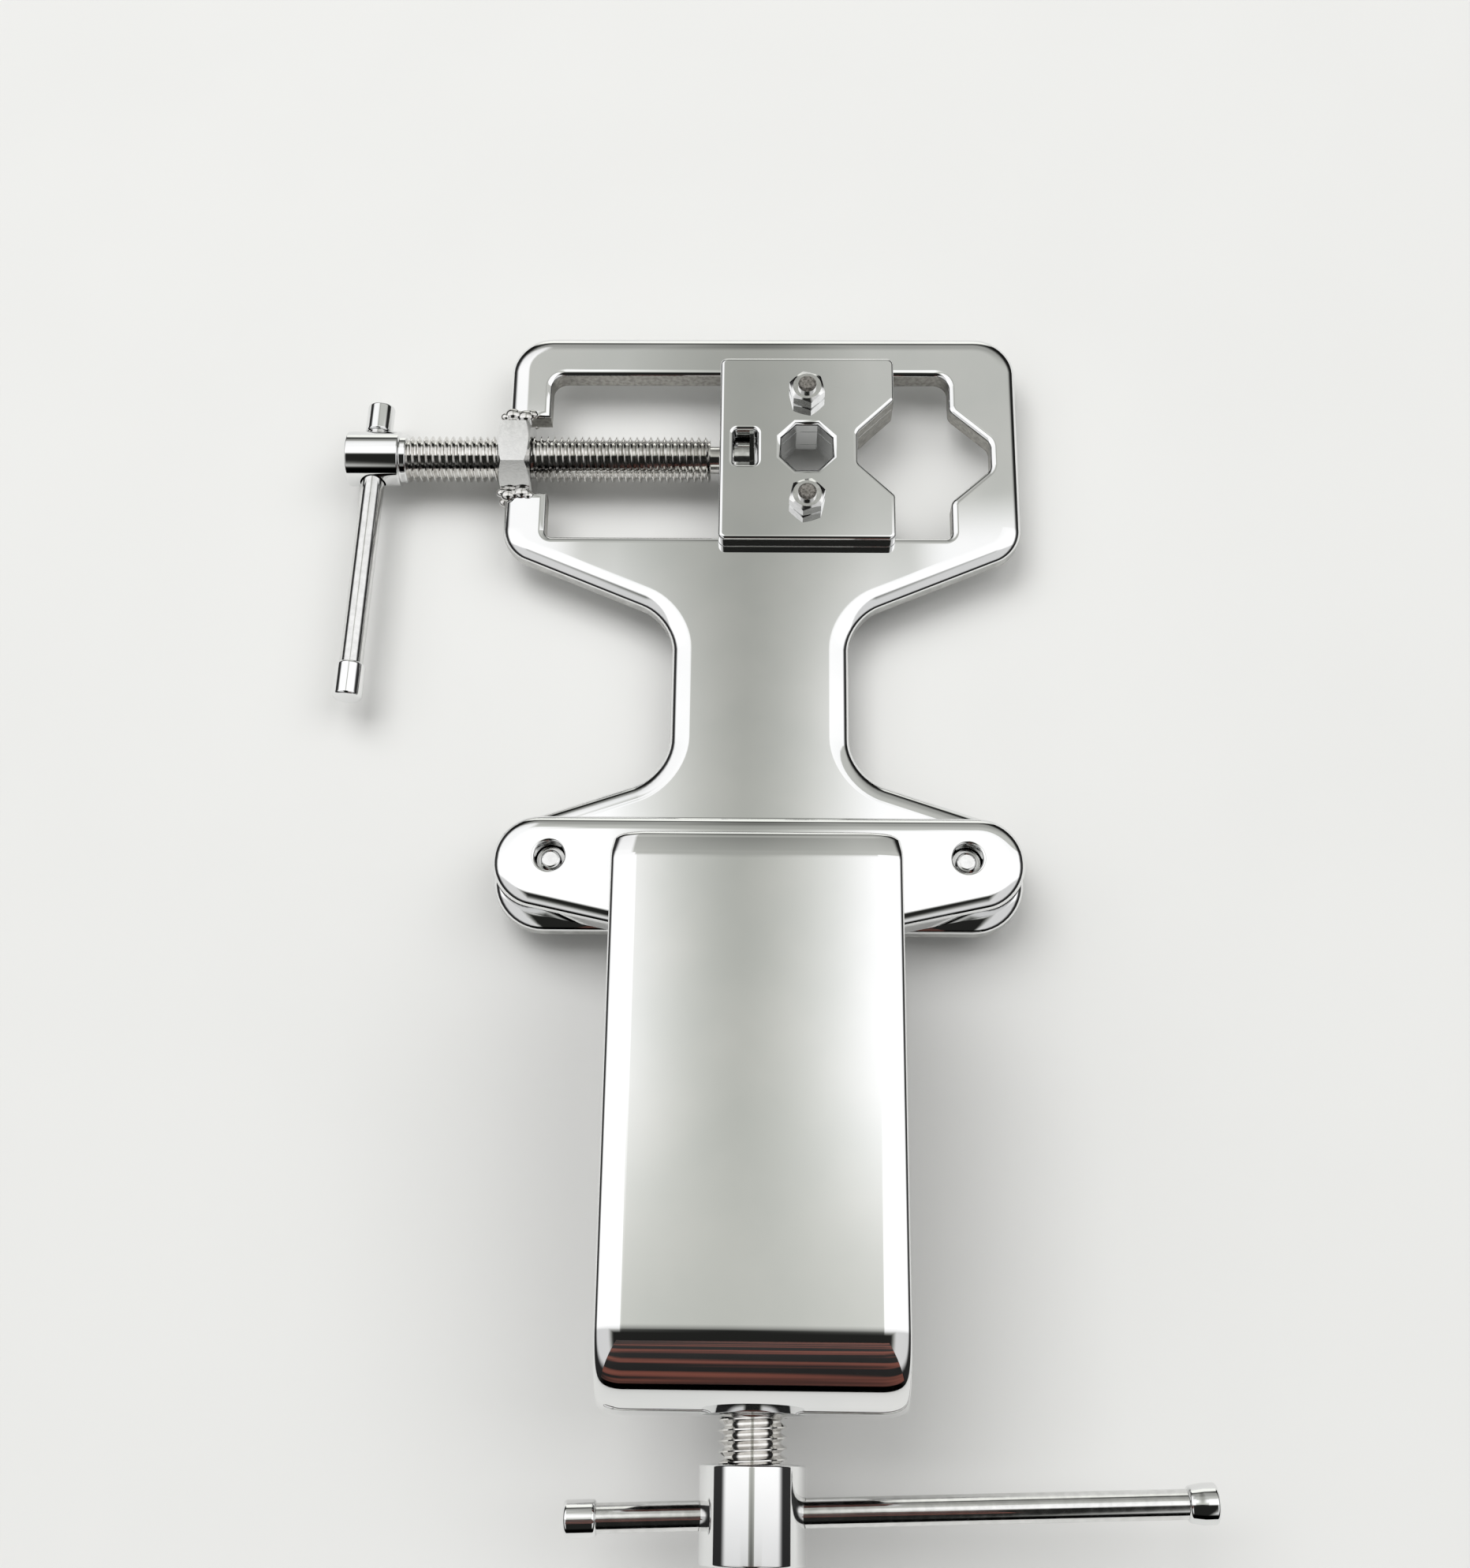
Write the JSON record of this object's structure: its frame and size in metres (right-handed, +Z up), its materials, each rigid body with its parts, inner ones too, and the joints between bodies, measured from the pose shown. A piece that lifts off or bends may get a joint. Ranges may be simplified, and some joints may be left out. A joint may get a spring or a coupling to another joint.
{
  "type": "lock picking vise",
  "caption": "Table-edge clamp with an upright window plate whose screw-driven jaw and fixed notch grip a small lock.",
  "frame": {"origin": "on the clamp screw's axis, in the seat on the underside of the upper arm that rests on the table top", "axes": "+Z up with the clamp on a table's edge; +X along the jaw screw from its head to the fixed notch; -Y out over the table's edge, from the plate to the clamp's spine, which is the side the picture shows"},
  "size_m": [0.1708, 0.056, 0.2535],
  "materials": {
    "chromed_steel": "bright chrome plate over filed and rounded steel",
    "thread_steel": "cut thread, lightly oiled steel",
    "screw_steel": "plated steel, a little rough at the cut ends",
    "plated_nut": "bright zinc and chrome plate",
    "weld": "rippled weld under the plating",
    "spring_steel": "phosphated spring steel"
  },
  "bodies": {
    "clamp": {"clamp_body": "chromed_steel", "vise_plate": "chromed_steel", "foot_screws": "screw_steel", "jaw_nut": "plated_nut", "weld_beads": "weld"},
    "jaw": {"jaw_front": "chromed_steel", "jaw_back": "chromed_steel", "jaw_bolts": "screw_steel", "jaw_bolt_nuts": "plated_nut"},
    "jaw_screw": {"jaw_screw_rod": "thread_steel", "jaw_screw_head": "chromed_steel", "jaw_screw_collar": "plated_nut"},
    "jaw_bar": {"jaw_bar": "chromed_steel", "jaw_bar_cap": "chromed_steel", "jaw_bar_knob": "chromed_steel"},
    "clamp_pad": {"clamp_pad": "chromed_steel"},
    "clamp_screw": {"clamp_screw_rod": "thread_steel", "clamp_screw_head": "chromed_steel", "pad_snap_ring": "spring_steel"},
    "clamp_bar": {"clamp_bar": "chromed_steel", "clamp_bar_knob": "chromed_steel", "clamp_bar_cap": "chromed_steel"}
  },
  "joints": [
    {"name": "jaw_slide", "type": "slide", "parent": "clamp", "child": "jaw", "axis": [1, 0, 0], "range_m": [-0.036, 0.012]},
    {"name": "jaw_screw_spin", "type": "hinge", "parent": "jaw", "child": "jaw_screw", "pos_m": [-0.0112, 0.0185, 0.1148], "axis": [1, 0, 0], "range_deg": [-8640, 2880]},
    {"name": "jaw_bar_slide", "type": "slide", "parent": "jaw_screw", "child": "jaw_bar", "axis": [0.0314, 0, 0.9995], "range_m": [0, 0.0428]},
    {"name": "pad_slide", "type": "slide", "parent": "clamp", "child": "clamp_pad", "axis": [0, 0, 1], "range_m": [-0.0525, 0.007]},
    {"name": "clamp_screw_spin", "type": "hinge", "parent": "clamp_pad", "child": "clamp_screw", "pos_m": [0, 0, -0.0205], "axis": [0, 0, 1], "range_deg": [-10800, 1440]},
    {"name": "clamp_bar_slide", "type": "slide", "parent": "clamp_screw", "child": "clamp_bar", "axis": [0.9994, 0, 0.0349], "range_m": [-0.065, 0.0171]}
  ],
  "couplings": [
    {"joint": "jaw_screw_spin", "follows": "jaw_slide", "rad_per_m": 4188.8},
    {"joint": "clamp_screw_spin", "follows": "pad_slide", "rad_per_m": 3590.4}
  ]
}
